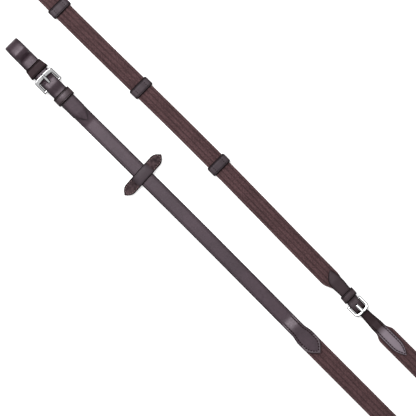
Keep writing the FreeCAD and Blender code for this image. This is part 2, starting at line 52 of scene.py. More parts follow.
UP = np.array([0.0, 0.0, 1.0])

# Sizes, the same as the frame's.
REIN_LENGTH = 1300.0
JOIN_START = 385.0
JOIN_TIP = 437.0
REIN_STOP_AT = 186.4
HAND_STOPS_FROM_CENTRE = (205.5, 314.8, 429.0, 541.0, 653.0)
STRAP_WIDTH = 16.0
THICK = 2.8
HALF = THICK / 2
WEB_WIDTH = 19.0
RUN_SPACING = 59.4
TURN_RADIUS = RUN_SPACING / 2
TWIST_LENGTH = 65.0
FLAT_HEIGHT = 3.4
EDGE_HEIGHT = 12.0
HEEL_AT = 59.6
CENTRE_WIDTH = 12.4
KEEPER_TO_BAR = 23.0
LEAF_TIP = 61.0
CENTRE_BILLET_TIP = -53.0

# Where the leather rises onto the web, and where the web starts. The frame's own are further along.
RISE_START = 391.5
RISE_END = 400.5
WEB_START = 402.0


# -------- camera, light and floor

def add_object(name, data):
    thing = bpy.data.objects.new(name, data)
    bpy.context.scene.collection.objects.link(thing)
    return thing


def datum(node, side, axis):
    low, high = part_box(node)
    value = {"low": low[axis], "high": high[axis], "middle": (low[axis] + high[axis]) / 2}[side]
    return value / MM


def rise(value, start, end):
    """How far a value has gone from a start to an end, from 0 to 1."""
    return min(max((value - start) / (end - start), 0), 1)


def eased(share):
    """A share from 0 to 1 that starts and stops gently."""
    return share * share * (3 - 2 * share)


BAR = np.array([datum("centre_keeper", "middle", 0) + KEEPER_TO_BAR,
                datum("centre_keeper", "middle", 1), 0.0])
VIEW_FROM_BAR = np.array([-182.7, -36.3])
VIEW_WIDTH = 0.416
CAMERA_HEIGHT = 3.2
SENSOR = 36.0
SOFTBOX_HEIGHT = 1.45
SOFTBOX_LEAN = 0.72
SOFTBOX_SIZE = 0.95
SOFTBOX_POWER = 21.0
SIDE_LIGHT_PLACE = (1.4, 1.3, 1.2)
SIDE_LIGHT_SIZE = 0.9
SIDE_LIGHT_POWER = 5.0
SKY_AT_HORIZON = 0.28
SKY_OVERHEAD = 0.65
FLOOR_REACH = 6.0
FLOOR_DROP = 0.0003
FLOOR_GLOW = 0.5


def add_camera():
    data = bpy.data.cameras.new("camera")
    data.sensor_width = SENSOR
    data.lens = SENSOR * CAMERA_HEIGHT / VIEW_WIDTH
    data.clip_end = 20.0
    camera = add_object("camera", data)
    x, y = (BAR[:2] + VIEW_FROM_BAR) * MM
    camera.location = (x, y, CAMERA_HEIGHT)
    camera.rotation_euler = (0, 0, math.radians(45))
    bpy.context.scene.camera = camera


def add_area_light(name, place, target, size, power):
    data = bpy.data.lights.new(name, "AREA")
    data.shape = "DISK"
    data.size = size
    data.energy = power
    light = add_object(name, data)
    light.location = place
    aim = np.array(target, float) - np.array(place, float)
    light.rotation_euler = Vector(aim).to_track_quat("-Z", "Y").to_euler()


def add_studio():
    """A softbox that leans in from -X, a weaker side light, and a sky darker towards the horizon."""
    scene = bpy.context.scene
    scene.view_settings.view_transform = "Standard"
    world = bpy.data.worlds.new("studio")
    scene.world = world
    world.use_nodes = True
    nodes = world.node_tree.nodes
    links = world.node_tree.links
    direction = nodes.new("ShaderNodeTexCoord")
    split = nodes.new("ShaderNodeSeparateXYZ")
    height = nodes.new("ShaderNodeMapRange")
    for socket, value in (("From Min", 0.0), ("From Max", 0.9), ("To Min", SKY_AT_HORIZON),
                          ("To Max", SKY_OVERHEAD)):
        height.inputs[socket].default_value = value
    links.new(direction.outputs["Generated"], split.inputs[0])
    links.new(split.outputs["Z"], height.inputs["Value"])
    links.new(height.outputs[0], nodes["Background"].inputs["Strength"])
    nodes["Background"].inputs["Color"].default_value = (1.0, 1.0, 1.0, 1.0)
    middle = (BAR[:2] + VIEW_FROM_BAR) * MM
    softbox = (middle[0] - SOFTBOX_LEAN, middle[1], SOFTBOX_HEIGHT)
    add_area_light("softbox", softbox, (middle[0], middle[1], 0.0), SOFTBOX_SIZE, SOFTBOX_POWER)
    add_area_light("side_light", SIDE_LIGHT_PLACE, (0.0, 0.0, 0.0), SIDE_LIGHT_SIZE, SIDE_LIGHT_POWER)


def add_floor():
    mesh = bpy.data.meshes.new("floor")
    corners = [(x * FLOOR_REACH, y * FLOOR_REACH, 0) for x, y in ((-1, -1), (1, -1), (1, 1), (-1, 1))]
    mesh.from_pydata(corners, [], [(0, 1, 2, 3)])
    floor = add_object("floor", mesh)
    floor.location.z = -FLOOR_DROP
    n = Nodes("floor_white")
    n.surface((0.93, 0.93, 0.93, 1), 0.9, 0.0)
    n.to_shader("Emission Color", (1.0, 1.0, 1.0, 1))
    n.to_shader("Emission Strength", FLOOR_GLOW)
    mesh.materials.append(n.material)


# -------- materials

class Nodes:
    """A small helper that adds and links the nodes of one material."""

    def __init__(self, name):
        self.material = bpy.data.materials.new(name)
        self.material.use_nodes = True
        self.tree = self.material.node_tree
        self.shader = self.tree.nodes["Principled BSDF"]

    def add(self, kind, settings=None, **inputs):
        node = self.tree.nodes.new(kind)
        for key, value in (settings or {}).items():
            setattr(node, key, value)
        for key, value in inputs.items():
            numbered = key[0] == "i" and key[1:].isdigit()
            self.put(node.inputs[int(key[1:]) if numbered else key], value)
        return node

    def put(self, socket, value):
        if hasattr(value, "is_linked"):
            self.tree.links.new(value, socket)
        else:
            socket.default_value = value

    def math(self, operation, first, second=0.0):
        return self.add("ShaderNodeMath", {"operation": operation}, i0=first, i1=second).outputs[0]

    def times(self, first, second):
        return self.math("MULTIPLY", first, second)

    def plus(self, first, second):
        return self.math("ADD", first, second)

    def mix(self, factor, first, second):
        node = self.add("ShaderNodeMix", {"data_type": "RGBA"}, i0=factor, i6=first, i7=second)
        return node.outputs[2]

    def ramp(self, value, low, high):
        node = self.add("ShaderNodeMapRange", {"clamp": True}, i0=value, i1=low, i2=high)
        return node.outputs[0]

    def attribute(self, name, output="Fac"):
        return self.add("ShaderNodeAttribute", {"attribute_name": name}).outputs[output]

    def noise(self, vector, scale, detail=3.0, roughness=0.5):
        return self.add("ShaderNodeTexNoise", None, Vector=vector, Scale=scale, Detail=detail,
                        Roughness=roughness).outputs[0]

    def to_shader(self, socket, value):
        self.put(self.shader.inputs[socket], value)

    def surface(self, colour, roughness, level):
        self.to_shader("Base Color", colour)
        self.to_shader("Roughness", roughness)
        self.to_shader("Specular IOR Level", level)

    def bump(self, height, distance, strength):
        self.to_shader("Normal", self.add("ShaderNodeBump", None, Height=height, Distance=distance,
                                          Strength=strength).outputs[0])


def shaded(colour, share):
    return tuple(channel * share for channel in colour[:3]) + (1,)


def leather(name, colour, dark, roughness, grain=1.0, coat=0.12, gloss=0.5, polish_and_highlight_to=None,
            cloud=38.0, cloud_detail=4.0):
    """Oiled bridle leather: fine pores, soft wrinkles, and dull inked edges, with painted shade that widens
    the dark band along each edge and darkens the grooves.

    The polish and highlight distance is how far along the strap, in millimetres, it is glossier from
    polishing; there its colour is also lightened with a painted highlight. cloud is the scale of the
    mottling, and cloud_detail its detail.
    """
    n = Nodes(name)
    place = n.attribute("strap", "Vector")
    edge = n.attribute("edge")
    groove = n.attribute("groove")
    mottle = n.ramp(n.noise(place, cloud, cloud_detail), 0.36, 0.64)
    fine = n.ramp(n.noise(place, 420.0, 3.0), 0.3, 0.7)
    tone = n.plus(n.times(mottle, 0.6), n.times(fine, 0.4))
    body = n.mix(tone, dark, colour)
    # Painted shade: the edge band (inked at the very edge, widened inwards as shade) and the crease grooves
    # are mixed towards a near-black copy of the leather.
    ink_and_painted_shade = shaded(dark, 0.3)
    body = n.mix(n.times(edge, 0.92), body, ink_and_painted_shade)
    body = n.mix(n.times(groove, 0.85), body, ink_and_painted_shade)
    rough = n.plus(n.times(fine, 0.16), roughness)
    # Less sheen on the edges and in the grooves, so that they look shaded: painted shade.
    outside_edges_and_grooves = n.math("SUBTRACT", 1.0, n.times(n.math("MAXIMUM", edge, groove), 0.85))
    level, shine = gloss, coat
    if polish_and_highlight_to:
        along = n.add("ShaderNodeSeparateXYZ", None, Vector=place).outputs[0]
        polish_and_highlight = n.times(n.ramp(along, (polish_and_highlight_to + 4.0) * MM, (polish_and_highlight_to - 3.0) * MM), outside_edges_and_grooves)
        # Painted highlight: up to that distance the colour is lightened to a pale grey-mauve, as well as made
        # glossier.
        body = n.mix(polish_and_highlight, body, n.mix(tone, (0.13, 0.105, 0.125, 1), (0.19, 0.155, 0.18, 1)))
        level = n.plus(n.times(polish_and_highlight, 0.85), gloss)
        shine = n.plus(n.times(polish_and_highlight, 0.35), coat)
    n.surface(body, rough, n.times(outside_edges_and_grooves, level))
    n.to_shader("Specular Tint", (1.0, 0.84, 0.95, 1.0))
    n.to_shader("Coat Weight", n.times(outside_edges_and_grooves, shine))
    n.to_shader("Coat Roughness", 0.3)
    pores = n.add("ShaderNodeTexVoronoi", None, Vector=place, Scale=1250.0, Randomness=1.0)
    pore_height = n.ramp(pores.outputs["Distance"], 0.05, 0.55)
    wrinkles = n.noise(place, 260.0, 5.0, 0.6)
    height = n.plus(n.times(pore_height, 0.45), n.times(wrinkles, 0.9))
    n.bump(height, 0.00012 * grain, 0.55)
    return n.material


def webbing(name, colour, dark):
    """Tightly woven cotton web: warp cords along the strap, crossed by fine weft."""
    n = Nodes(name)
    place = n.attribute("strap", "Vector")
    groove = n.attribute("groove")
    edge = n.attribute("edge")
    axes = n.add("ShaderNodeSeparateXYZ", None, Vector=place)
    along, across = axes.outputs[0], axes.outputs[1]
    warp_pitch, weft_pitch = 1.27 * MM, 2.1 * MM
    warp = n.times(across, 2 * math.pi / warp_pitch)
    row = n.math("FLOOR", n.math("DIVIDE", across, warp_pitch))
    shift = n.times(n.math("MODULO", row, 2.0), math.pi)
    weft = n.plus(n.times(along, 2 * math.pi / weft_pitch), shift)
    cord = n.math("ABSOLUTE", n.math("SINE", n.times(warp, 0.5)))
    crossing = n.times(n.plus(n.math("SINE", weft), 1.0), 0.5)
    weave = n.plus(n.times(cord, 0.55), n.times(crossing, 0.45))
    stretched = n.add("ShaderNodeMapping", None, Vector=place, Scale=(0.25, 1.0, 1.0)).outputs[0]
    streaks = n.ramp(n.noise(stretched, 330.0, 3.0), 0.3, 0.7)
    mottle = n.ramp(n.noise(place, 60.0, 3.0), 0.3, 0.7)
    tone = n.plus(n.times(streaks, 0.35), n.times(mottle, 0.25))
    tone = n.plus(tone, n.times(weave, 0.75))
    specks = n.ramp(n.noise(place, 620.0, 2.0), 0.36, 0.64)
    tone = n.times(tone, n.plus(n.times(specks, 0.75), 0.5))
    body = n.mix(tone, dark, colour)
    # Painted shade: the grooves between the ribs and the rounded selvages are darkened.
    painted_web_shade = shaded(dark, 0.5)
    body = n.mix(n.times(groove, 0.55), body, painted_web_shade)
    body = n.mix(n.times(edge, 0.6), body, painted_web_shade)
    n.surface(body, 0.8, 0.14)
    n.to_shader("Sheen Weight", 0.05)
    n.to_shader("Sheen Roughness", 0.5)
    fuzz = n.noise(place, 2600.0, 3.0)
    n.bump(n.plus(weave, n.times(fuzz, 0.3)), 0.00035, 0.7)
    return n.material


def thread(name, colour):
    """Waxed, twisted linen thread."""
    n = Nodes(name)
    place = n.attribute("strap", "Vector")
    twist = n.noise(place, 1800.0, 2.0)
    n.surface(n.mix(n.ramp(twist, 0.3, 0.7), shaded(colour, 0.5), colour), 0.7, 0.15)
    n.bump(twist, 0.0001, 0.5)
    return n.material


def polished_metal(name, colour):
    """Cast and polished buckle metal with faint hairlines and random tarnish, and painted shade that darkens
    it down its sides.
    """
    n = Nodes(name)
    place = n.add("ShaderNodeTexCoord").outputs["Object"]
    tarnish = n.ramp(n.noise(place, 240.0, 4.0), 0.35, 0.75)
    drawn_out = n.add("ShaderNodeMapping", None, Vector=place, Scale=(1.0, 9.0, 1.0)).outputs[0]
    hair = n.noise(drawn_out, 900.0, 2.0)
    facing = n.add("ShaderNodeSeparateXYZ", None, Vector=n.add("ShaderNodeTexCoord").outputs["Normal"])
    # Painted shade: faces turned away from straight up are darkened almost to black, which draws dark
    # outlines down the frame's sides.
    top = n.ramp(facing.outputs[2], 0.72, 0.96)
    bright = n.mix(tarnish, colour, shaded(colour, 0.8))
    n.to_shader("Base Color", n.mix(top, shaded(colour, 0.07), bright))
    n.to_shader("Metallic", 1.0)
    n.to_shader("Roughness", n.plus(n.times(hair, 0.2), 0.17))
    n.bump(hair, 0.00002, 0.35)
    return n.material


MATERIALS = {
    "strap_leather": leather("strap_leather", (0.042, 0.025, 0.033, 1), (0.021, 0.012, 0.016, 1), 0.34),
    "billet_leather": leather("billet_leather", (0.032, 0.020, 0.022, 1), (0.016, 0.009, 0.010, 1), 0.46,
                              gloss=0.32, coat=0.06),
    "keeper_leather": leather("keeper_leather", (0.026, 0.014, 0.015, 1), (0.012, 0.006, 0.006, 1), 0.34,
                              gloss=0.6),
    "runner_leather": leather("runner_leather", (0.029, 0.015, 0.016, 1), (0.013, 0.007, 0.007, 1), 0.48,
                              gloss=0.22, coat=0.0),
    "stop_leather": leather("stop_leather", (0.034, 0.024, 0.029, 1), (0.018, 0.011, 0.013, 1), 0.46,
                            gloss=0.4),
    "sewn_leather": leather("sewn_leather", (0.074, 0.047, 0.050, 1), (0.005, 0.002, 0.002, 1), 0.58,
                            grain=2.0, gloss=0.2, coat=0.0, cloud=300.0, cloud_detail=1.5),
    # A lighter, glossier copy of the strap leather: painted highlight on the bevelled rim round the join's
    # point.
    "rim_highlight_leather": leather("rim_highlight_leather", (0.115, 0.090, 0.102, 1), (0.060, 0.045, 0.052, 1), 0.36,
                           gloss=0.7, coat=0.2),
    "backing_leather": leather("backing_leather", (0.034, 0.022, 0.022, 1), (0.018, 0.011, 0.010, 1), 0.6,
                               grain=1.5, gloss=0.25, coat=0.0),
    "leaf_leather": leather("leaf_leather", (0.032, 0.020, 0.022, 1), (0.016, 0.009, 0.010, 1), 0.48,
                            gloss=0.12, coat=0.0, polish_and_highlight_to=34.0),
    "webbing": webbing("webbing", (0.108, 0.056, 0.060, 1), (0.026, 0.013, 0.014, 1)),
    "thread": thread("thread", (0.014, 0.0035, 0.004, 1)),
    "light_thread": thread("light_thread", (0.19, 0.125, 0.13, 1)),
    "buckle_metal": polished_metal("buckle_metal", (0.66, 0.66, 0.67, 1)),
}


# -------- how each half lies

def loop_nose(side):
    billet = side + "_bit_billet"
    return np.array([datum(billet, "low", 0), datum(billet, "middle", 1), 0.0])


RIGHT_BEHIND = BAR[0] - datum("right_bit_billet", "low", 0)
RIGHT_STRAIGHT = (REIN_LENGTH - math.pi * TURN_RADIUS + RIGHT_BEHIND) / 2
LEFT_LAST_RUN = 616.0
LEFT_MIDDLE_RUN = 212.0
LEFT_FIRST_RUN = REIN_LENGTH - LEFT_LAST_RUN - LEFT_MIDDLE_RUN - 2 * math.pi * TURN_RADIUS
HALVES = {
    "right": {
        "nose": loop_nose("right"),
        "route": [("run", RIGHT_STRAIGHT), ("turn", 1), ("run", RIGHT_STRAIGHT - RIGHT_BEHIND)],
        "twists": (537.0, 1136.5),
        "web_end": REIN_LENGTH - 24.5,
    },
    "left": {
        "nose": loop_nose("left"),
        "route": [("run", LEFT_FIRST_RUN), ("turn", -1), ("run", LEFT_MIDDLE_RUN), ("turn", 1),
                  ("run", LEFT_LAST_RUN)],
        "twists": (LEFT_FIRST_RUN - TWIST_LENGTH, 850.5 - TWIST_LENGTH),
        "web_end": REIN_LENGTH - 34.0,
    },
}


def roll_at(half, distance):
    """The strap's roll: flat at first, on edge through its turns, and flat again."""
    first, second = half["twists"]
    up = rise(distance, first, first + TWIST_LENGTH)
    down = rise(distance, second, second + TWIST_LENGTH)
    return math.pi / 2 * (eased(up) - eased(down))


def lie(name, distance):
    """Small bends and sags of a strap that lies loose: sideways, and down."""
    half = HALVES[name]
    flat = math.cos(roll_at(half, distance)) ** 2
    from_bar = REIN_LENGTH - distance
    sideways = 0.0
    if name == "left":
        sideways = 1.9 * math.exp(-((from_bar - 232.0) / 125.0) ** 2) * flat
    elif distance < 600.0:
        sideways = 0.8 * math.exp(-((distance - 262.0) / 130.0) ** 2)
    supports = [WEB_START + 20.0] + [REIN_LENGTH - at for at in reversed(HAND_STOPS_FROM_CENTRE)]
    supports.append(half["web_end"] - 12.0)
    sag = 0.0
    for first, last in zip(supports, supports[1:]):
        if first + 8.0 < distance < last - 8.0:
            share = (distance - first - 8.0) / (last - first - 16.0)
            sag = 1.2 * math.sin(math.pi * share) ** 2 * flat
    return sideways, sag


def route_frame(name, loose=True):
    """A function from a distance along a half to its place and its along, across and out axes."""
    half = HALVES[name]

    def at(distance):
        place = half["nose"].copy()
        heading = 0.0
        done = 0.0
        for kind, value in half["route"]:
            length = value if kind == "run" else math.pi * TURN_RADIUS
            along = np.array([math.cos(heading), math.sin(heading), 0.0])
            left = np.array([-along[1], along[0], 0.0])
            if distance <= done + length or (kind, value) == half["route"][-1]:
                break
            place = place + (along * value if kind == "run" else left * value * 2 * TURN_RADIUS)
            heading += 0 if kind == "run" else value * math.pi
            done += length
        if kind == "run":
            place = place + along * (distance - done)
        else:
            angle = (distance - done) / TURN_RADIUS
            outward = along * math.sin(angle) - left * value * math.cos(angle)
            place = place + left * value * TURN_RADIUS + outward * TURN_RADIUS
            along = along * math.cos(angle) + left * value * math.sin(angle)
            left = np.array([-along[1], along[0], 0.0])
        roll = roll_at(half, distance)
        across = left * math.cos(roll) + UP * math.sin(roll)
        out = UP * math.cos(roll) - left * math.sin(roll)
        height = FLAT_HEIGHT + (EDGE_HEIGHT - FLAT_HEIGHT) * math.sin(roll)
        sideways, sag = lie(name, distance) if loose else (0.0, 0.0)
        place = place + UP * (height - sag) + np.array([0.0, sideways, 0.0])
        return place, along, across, out

    return at


CENTRE_ASIDE = 1.8
ASIDE_START = -13.0
ASIDE_OVER = 8.0


def centre_frame(x):
    """Along the centre buckle: distances from its front bar, towards the right half.

    The billet and the chape lie a little off the middle of the web that they are sewn to.
    """
    aside = CENTRE_ASIDE * (1 - math.exp(-max(ASIDE_START - x, 0) / ASIDE_OVER))
    return BAR + np.array([x, aside, FLAT_HEIGHT]), np.array([1.0, 0, 0]), np.array([0, 1.0, 0]), UP


def flipped(at):
    """The same strap seen from its other side, for what is sewn under it."""
    def turned(distance):
        place, along, across, out = at(distance)
        return place, along, -across, -out
    return turned


# -------- making meshes

def new_piece(name, points, faces, strap, edges, grooves, material):
    """A mesh piece from lists of arrays in millimetres: points, material coordinates and masks."""
    mesh = bpy.data.meshes.new(name)
    mesh.from_pydata((np.vstack(points) * MM).tolist(), [], faces)
    layer = mesh.attributes.new("strap", "FLOAT_VECTOR", "POINT")
    layer.data.foreach_set("vector", (np.vstack(strap) * MM).ravel().astype(np.float32))
    for key, mask in (("edge", edges), ("groove", grooves)):
        layer = mesh.attributes.new(key, "FLOAT", "POINT")
        layer.data.foreach_set("value", np.concatenate(mask).astype(np.float32))
    mesh.shade_smooth()
    mesh.set_sharp_from_angle(angle=math.radians(50))
    mesh.materials.append(MATERIALS[material])
    mesh.validate()
    return add_object(name, mesh)


def second_material(piece, name, chosen):
    """Give the faces whose strap coordinates (mm) are chosen another material."""
    mesh = piece.data
    mesh.materials.append(MATERIALS[name])
    strap = np.empty(len(mesh.vertices) * 3, np.float32)
    mesh.attributes["strap"].data.foreach_get("vector", strap)
    strap = strap.reshape(-1, 3) / MM
    for face in mesh.polygons:
        if chosen(strap[face.vertices[0]]):
            face.material_index = 1


def finish_piece(piece, body, slot, *nodes):
    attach(piece, body)
    if nodes:
        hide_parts(*nodes)
    return piece


def bent_line(corners, step=0.8):
    """Points along straight runs joined by tangent arcs; corners are (a, b, bend radius)."""
    points = [np.array(corner[:2], float) for corner in corners]
    line = [points[0]]

    def run_to(target):
        start = line[-1]
        length = np.linalg.norm(target - start)
        for share in np.linspace(0, 1, max(2, int(length / step) + 2))[1:]:
            if length > 1e-6:
                line.append(start + (target - start) * share)

    for before, corner, after, (_, _, radius) in zip(points, points[1:], points[2:], corners[1:]):
        heading_in = (corner - before) / np.linalg.norm(corner - before)
        heading_out = (after - corner) / np.linalg.norm(after - corner)
        cross = heading_in[0] * heading_out[1] - heading_in[1] * heading_out[0]
        turn = math.atan2(cross, float(heading_in @ heading_out))
        start = corner - heading_in * radius * math.tan(abs(turn) / 2)
        run_to(start)
        side = math.copysign(1.0, turn)
        centre = start + np.array([-heading_in[1], heading_in[0]]) * side * radius
        pieces = max(3, int(radius * abs(turn) / step) + 2)
        for angle in np.linspace(0, turn, pieces)[1:]:
            cosine, sine = math.cos(angle), math.sin(angle)
            x, y = start - centre
            line.append(centre + np.array([x * cosine - y * sine, x * sine + y * cosine]))
    run_to(points[-1])
    return np.array(line)


def softened(line, passes):
    """Round off a line a little, keeping its ends."""
    for _ in range(passes):
        line = line.copy()
        line[1:-1] = (line[:-2] + 2 * line[1:-1] + line[2:]) / 4
    return line


def lengths_along(line):
    return np.concatenate([[0.0], np.cumsum(np.linalg.norm(np.diff(line, axis=0), axis=1))])


def point_at(distance, lengths, values):
    return np.array([np.interp(distance, lengths, values[:, axis]) for axis in range(3)])


def leather_ring(width, thick, bevel=1.15, inset=2.3, groove=0.2, crown=0.12, dome=0.0, dome_half=3.2,
                 dark_edge=1.6, crease_shade=0.3):
    """The section of a leather strap: bevelled edges and a crease line near each edge."""
    half = width / 2
    high = thick / 2
    shrink = min(1.0, half / (inset + 1.6))
    bevel = bevel * shrink
    line = inset * shrink
    from_edge = np.array([half, line + (half - line) * 0.66, line + (half - line) * 0.33,
                          line + 0.75 * shrink, line + 0.32 * shrink, line, line - 0.32 * shrink,
                          line - 0.8 * shrink, bevel, bevel * 0.5, bevel * 0.18, 0.0])
    drop = np.array([0, 0, 0, 0, groove * 0.3, groove, groove * 0.3, 0, bevel * 0.06, bevel * 0.26,
                     bevel * 0.6, bevel]) * min(1.0, shrink + 0.2)
    y = half - from_edge
    z = high - drop + crown * shrink * (1 - (y / max(half, 0.01)) ** 2)
    if dome:
        z = z + dome * np.clip(1 - (y / dome_half) ** 4, 0, 1)
    # The edge mask: dark at the inked edge, and widened inwards over dark_edge millimetres as painted shade.
    edge = np.clip((dark_edge * shrink - from_edge) / (0.8 * dark_edge * shrink), 0, 1)
    # The crease line's mark, scaled by its strength, is painted shade in the groove.
    mark = np.array([0, 0, 0, 0, 0.4, 1.0, 0.4, 0, 0, 0, 0, 0.0]) * crease_shade
    under_y = half - np.array([0.0, bevel * 0.25, bevel * 0.8, half * 0.55, half])
    under_z = np.array([-high + bevel * 0.8, -high + bevel * 0.3, -high, -high, -high])
    under_edge = np.array([1.0, 0.9, 0.3, 0, 0])

    def both_sides(top, under, sign=1):
        return np.concatenate([top, under, sign * under[-2::-1], sign * top[:0:-1]])

    return (both_sides(y, under_y, -1), both_sides(z, under_z), both_sides(edge, under_edge),
            both_sides(mark, under_y * 0))


def web_ring(width):
    """The section of the web: five broad lengthwise ribs and rounded selvages."""
    half = width / 2
    y = np.linspace(-half, half, 49)
    share = y / half
    grooves = np.zeros_like(y)
    for place in (-0.69, -0.235, 0.235, 0.69):
        grooves += np.exp(-((share - place) / 0.055) ** 2)
    ribs = -0.26 * grooves + 0.05 * np.cos(y * 2 * math.pi / 1.9)
    shoulder = np.sqrt(np.clip(1 - np.clip((np.abs(y) - (half - 0.9)) / 0.9, 0, 1) ** 2, 0, 1))
    z = (HALF - 0.12 + ribs) * (0.25 + 0.75 * shoulder)
    ring_y = np.concatenate([y, y[::-1]])
    ring_z = np.concatenate([-z, z[::-1]])
    # These edge and groove masks carry the painted shade on the selvages and between the ribs.
    edge = np.clip((np.abs(ring_y) - (half - 0.7)) / 0.7, 0, 1)
    mark = np.concatenate([grooves, grooves[::-1]])
    return ring_y, ring_z, edge, mark


def faces_inward(second, third, ring):
    """Whether a face from the ring's first point to a second and a third looks into the ring."""
    normal = np.cross(second - ring[0], third - ring[0])
    return normal @ (ring[0] - ring.mean(axis=0)) < 0


def swept(name, at, line, section, material, seed=0.0):
    """Sweep sections along a line (a, b): a is a distance that `at` places, b its height.

    section(i, a, b, length) gives the ring's y, z, edge and groove values.
    """
    tangent = np.gradient(line, axis=0)
    tangent /= np.linalg.norm(tangent, axis=1)[:, None]
    length = lengths_along(line)
    points, strap, edges, grooves = [], [], [], []
    for i, ((a, b), (ta, tb)) in enumerate(zip(line, tangent)):
        place, along, across, out = at(a)
        y, z, edge, mark = section(i, a, b, length[i])
        lift = out * ta - along * tb
        centre = place + out * b
        points.append(centre + np.outer(y, across) + np.outer(z, lift))
        strap.append(np.stack([np.full_like(y, length[i] + seed), y, z + seed], axis=1))
        edges.append(edge)
        grooves.append(mark)
    count = len(points[0])
    rows = len(points)
    faces = []
    for row in range(rows - 1):
        for k in range(count):
            after = (k + 1) % count
            low, high = row * count, (row + 1) * count
            faces.append((low + k, low + after, high + after, high + k))
    for row in (0, rows - 1):
        hub = rows * count + (row > 0)
        points.append(points[row].mean(axis=0)[None])
        strap.append(strap[row].mean(axis=0)[None])
        edges.append([1.0])
        grooves.append([0.0])
        for k in range(count):
            pair = (row * count + k, row * count + (k + 1) % count)
            faces.append((hub,) + (pair if row else pair[::-1]))
    if faces_inward(points[0][1], points[1][0], points[0]):
        faces = [face[::-1] for face in faces]
    return new_piece(name, points, faces, strap, edges, grooves, material)


def cut_slot(piece, at, start, end, half_width, low, high):
    """Cut a slot with rounded ends into a strap, between two heights."""
    around = []
    for centre, first in ((end - half_width, -90), (start + half_width, 90)):
        for angle in np.radians(np.linspace(first, first + 180, 9)):
            around.append((centre + half_width * math.cos(angle), half_width * math.sin(angle)))
    points = []
    for level in (low, high):
        for a, y in around:
            place, _, across, out = at(a)
            points.append(place + across * y + out * level)
    count = len(around)
    faces = [tuple(range(count))[::-1], tuple(range(count, 2 * count))]
    faces += [(k, (k + 1) % count, (k + 1) % count + count, k + count) for k in range(count)]
    mesh = bpy.data.meshes.new("slot")
    mesh.from_pydata((np.array(points) * MM).tolist(), [], faces)
    cutter = add_object("slot", mesh)
    cut = piece.modifiers.new("slot", "BOOLEAN")
    cut.operation = "DIFFERENCE"
    cut.solver = "EXACT"
    cut.object = cutter
    bpy.context.view_layer.update()
    made = bpy.data.meshes.new_from_object(piece.evaluated_get(bpy.context.evaluated_depsgraph_get()))
    piece.modifiers.clear()
    piece.data = made
    bpy.data.objects.remove(cutter)


STITCH_SLANT = 0.1


def stitches(name, rows, body, slot, thread_width=1.25, stitch=2.1, pitch=2.9, material="thread"):
    """Thread along rows of (points, out directions), as separate raised stitches."""
    ring = np.array([(math.cos(t), math.sin(t)) for t in np.linspace(0, 2 * math.pi, 7)[:-1]])
    shape = [(-0.5, 0.25), (-0.36, 0.85), (0.0, 1.0), (0.36, 0.85), (0.5, 0.25)]
    points, faces, strap = [], [], []
    for line, outs in rows:
        line = np.asarray(line, float)
        outs = np.asarray(outs, float)
        length = lengths_along(line)
        number = max(1, int(round(length[-1] / pitch)))
        for k in range(number):
            middle = (k + 0.5) * length[-1] / number
            place = point_at(middle, length, line)
            out = point_at(middle, length, outs)
            out /= np.linalg.norm(out)
            along = point_at(middle + 0.4, length, line) - point_at(middle - 0.4, length, line)
            along -= out * (along @ out)
            along /= np.linalg.norm(along)
            side = np.cross(out, along)
            along = along * math.cos(STITCH_SLANT) + side * math.sin(STITCH_SLANT)
            side = np.cross(out, along)
            base = len(points)
            for share, size in shape:
                dip = -0.22 * (2 * share) ** 2
                for c, s in ring:
                    points.append(place + along * share * stitch + side * c * size * thread_width / 2
                                  + out * (s * size * thread_width * 0.42 + dip))
                    strap.append((middle + share * stitch, c * 0.3, s * 0.3 + k))
            steps = len(ring)
            for row in range(len(shape) - 1):
                low = base + row * steps
                for j in range(steps):
                    after = (j + 1) % steps
                    faces.append((low + j, low + steps + j, low + steps + after, low + after))
            faces.append(tuple(base + j for j in range(steps)))
            faces.append(tuple(base + (len(shape) - 1) * steps + j for j in reversed(range(steps))))
    plain = [np.zeros(len(points))]
    piece = new_piece(name, [points], faces, [strap], plain, plain, material)
    return finish_piece(piece, body, slot)


def seam(at, path):
    """World points and out directions of a seam from (a, y, height) points in a strap's frame."""
    line, outs = [], []
    for a, y, level in path:
        place, _, across, out = at(a)
        line.append(place + across * y + out * level)
        outs.append(out)
    return line, outs


# -------- bit end

FRONT_LAYER = THICK + 0.1
LOOP_RADIUS = 3.5 + HALF
OVER_BILLET = 4.1
HEEL_WRAP = 2.0
HEEL_LAYER = 8.1
KEEPER_LAYER = 7.0
BILLET_TIP = 108.0
SEAM_INSET = 2.7
TIP_LEVEL = 4.36
BIT_SLOT_HALF = 1.65
STRAP_SEED = 11.0

BILLET_FOLD = [(98.0, 0, 0), (HALF, 0, LOOP_RADIUS), (HALF, 5.6, 3.0), (6.6, 8.6, 8.0), (12.0, 10.2, 14.0),
               (15.8, 10.4, 5.0), (20.8, FRONT_LAYER, 4.5), (49.6, FRONT_LAYER, 2.5),
               (54.2, HEEL_LAYER + 0.4, 3.0), (60.5, HEEL_LAYER + 0.9, 4.0), (67.0, KEEPER_LAYER, 6.0),
               (80.5, KEEPER_LAYER, 10.0), (98.0, 5.9, 10.0), (BILLET_TIP, TIP_LEVEL, 0)]


def pointed_width(width, a, shoulder, tip, power=1.7):
    """Width of a strap that narrows from a shoulder to a rounded point."""
    return max(width * (1 - rise(a, shoulder, tip) ** power), 0.7)


